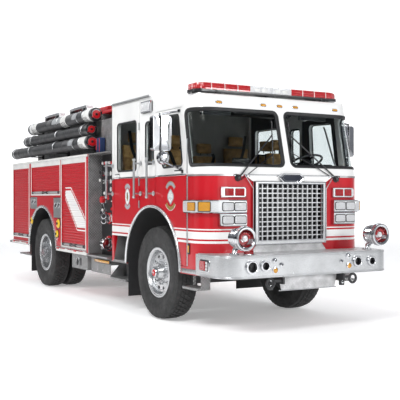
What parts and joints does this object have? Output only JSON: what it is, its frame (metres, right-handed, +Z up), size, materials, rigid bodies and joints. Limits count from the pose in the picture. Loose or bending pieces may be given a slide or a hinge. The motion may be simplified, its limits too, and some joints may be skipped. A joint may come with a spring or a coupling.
{
  "type": "fire engine, custom-cab pumper",
  "caption": "Red and white custom-cab fire engine with raised crew roof, side pump panel, roll-up lockers, hose racks and twin rear wheels.",
  "frame": {"origin": "on the ground under the middle of the whole vehicle's box", "axes": "+X forward, +Y the vehicle's left, +Z up"},
  "size_m": [8.47, 3.117, 3.1319],
  "materials": {
    "cab_red": "gloss",
    "cab_white": "gloss",
    "body_red": "gloss",
    "shutter_red": "satin",
    "trim_white": "gloss",
    "chrome": "polished",
    "polished": "polished",
    "treadplate": "diamond tread",
    "frame_black": "satin",
    "cast_dark": "rough",
    "wheel_alloy": "polished",
    "tyre_black": "matte",
    "window_glass": "clear",
    "clear_lens": "clear",
    "red_lens": "clear",
    "amber_lens": "clear",
    "panel_black": "satin",
    "liner_black": "matte",
    "cabin_grey": "matte",
    "seat_tan": "matte",
    "hose_black": "matte",
    "cover_red": "matte",
    "tank_grey": "matte"
  },
  "bodies": {
    "chassis": {"amber_lenses": "amber_lens", "axles_and_drive": "cast_dark", "bed_covers": "cover_red", "body": "body_red", "body_trim": "trim_white", "bright_trim": "chrome", "bumper": "polished", "bumper_fittings": "chrome", "bumper_treadplate": "treadplate", "cab_glass": "window_glass", "cab_interior": "cabin_grey", "cab_lower": "cab_red", "cab_upper": "cab_white", "clear_lenses": "clear_lens", "deck_lights": "polished", "engine": "cast_dark", "frame_rails": "frame_black", "grab_rails": "polished", "grille": "chrome", "hose_couplings": "polished", "hose_trays": "polished", "lamp_housings": "chrome", "leaf_springs": "frame_black", "pump_fittings": "chrome", "pump_house": "treadplate", "pump_panels": "panel_black", "red_lenses": "red_lens", "seats": "seat_tan", "shutters": "shutter_red", "steps": "treadplate", "suction_hoses": "hose_black", "tanks": "tank_grey", "wheel_guards": "liner_black", "wipers": "panel_black"},
    "knuckle_left": {"knuckle_left": "cast_dark"},
    "wheel_front_left": {"front_wheel_left": "wheel_alloy", "front_tyre_left": "tyre_black"},
    "wheel_rear_left": {"rear_wheels_left": "wheel_alloy", "rear_tyres_left": "tyre_black"},
    "door_front_left": {"front_door_left": "cab_red", "front_door_glass_left": "window_glass", "mirror_left": "chrome"},
    "door_crew_left": {"crew_door_left": "cab_red", "crew_door_glass_left": "window_glass"},
    "hatch_rear_left": {"fender_door_rear_left": "body_red"},
    "hatch_front_left": {"fender_door_front_left": "body_red"},
    "knuckle_right": {"knuckle_right": "cast_dark"},
    "wheel_front_right": {"front_wheel_right": "wheel_alloy", "front_tyre_right": "tyre_black"},
    "wheel_rear_right": {"rear_wheels_right": "wheel_alloy", "rear_tyres_right": "tyre_black"},
    "door_front_right": {"front_door_right": "cab_red", "front_door_glass_right": "window_glass", "mirror_right": "chrome"},
    "door_crew_right": {"crew_door_right": "cab_red", "crew_door_glass_right": "window_glass"},
    "hatch_rear_right": {"fender_door_rear_right": "body_red"},
    "hatch_front_right": {"fender_door_front_right": "body_red"},
    "tie_rod": {"tie_rod": "cast_dark"}
  },
  "joints": [
    {"name": "steer_right", "type": "hinge", "parent": "chassis", "child": "knuckle_right", "pos_m": [2.315, -0.86, 0.61], "axis": [0, 0, 1], "range_deg": [-35, 35]},
    {"name": "steer_left", "type": "hinge", "parent": "chassis", "child": "knuckle_left", "pos_m": [2.315, 0.86, 0.61], "axis": [0, 0, 1], "range_deg": [-35, 35]},
    {"name": "tie_rod_swing", "type": "hinge", "parent": "knuckle_right", "child": "tie_rod", "pos_m": [2.135, -0.86, 0.45], "axis": [0, 0, 1], "range_deg": [-35, 35]},
    {"name": "spin_front_left", "type": "hinge", "parent": "knuckle_left", "child": "wheel_front_left", "pos_m": [2.315, 0.995, 0.61], "axis": [0, 1, 0], "continuous": true},
    {"name": "spin_front_right", "type": "hinge", "parent": "knuckle_right", "child": "wheel_front_right", "pos_m": [2.315, -0.995, 0.61], "axis": [0, 1, 0], "continuous": true},
    {"name": "spin_rear_left", "type": "hinge", "parent": "chassis", "child": "wheel_rear_left", "pos_m": [-2.135, 0.88, 0.61], "axis": [0, 1, 0], "continuous": true},
    {"name": "open_front_left", "type": "hinge", "parent": "chassis", "child": "door_front_left", "pos_m": [3.251, 1.21054, 1.7], "axis": [0, 0, -1], "range_deg": [0, 75]},
    {"name": "open_crew_left", "type": "hinge", "parent": "chassis", "child": "door_crew_left", "pos_m": [1.932, 1.21054, 1.9], "axis": [0, 0, -1], "range_deg": [0, 75]},
    {"name": "open_hatch_rear_left", "type": "hinge", "parent": "chassis", "child": "hatch_rear_left", "pos_m": [-2.782, 1.24454, 1.49], "axis": [0, 0, 1], "range_deg": [0, 100]},
    {"name": "open_hatch_front_left", "type": "hinge", "parent": "chassis", "child": "hatch_front_left", "pos_m": [-1.122, 1.24454, 1.42], "axis": [0, 0, -1], "range_deg": [0, 100]},
    {"name": "spin_rear_right", "type": "hinge", "parent": "chassis", "child": "wheel_rear_right", "pos_m": [-2.135, -0.88, 0.61], "axis": [0, 1, 0], "continuous": true},
    {"name": "open_front_right", "type": "hinge", "parent": "chassis", "child": "door_front_right", "pos_m": [3.251, -1.21054, 1.7], "axis": [0, 0, 1], "range_deg": [0, 75]},
    {"name": "open_crew_right", "type": "hinge", "parent": "chassis", "child": "door_crew_right", "pos_m": [1.932, -1.21054, 1.9], "axis": [0, 0, 1], "range_deg": [0, 75]},
    {"name": "open_hatch_rear_right", "type": "hinge", "parent": "chassis", "child": "hatch_rear_right", "pos_m": [-2.782, -1.24454, 1.49], "axis": [0, 0, -1], "range_deg": [0, 100]},
    {"name": "open_hatch_front_right", "type": "hinge", "parent": "chassis", "child": "hatch_front_right", "pos_m": [-1.122, -1.24454, 1.42], "axis": [0, 0, 1], "range_deg": [0, 100]}
  ],
  "couplings": [
    {"joint": "steer_left", "follows": "steer_right", "ratio": 1},
    {"joint": "tie_rod_swing", "follows": "steer_right", "ratio": -1}
  ]
}
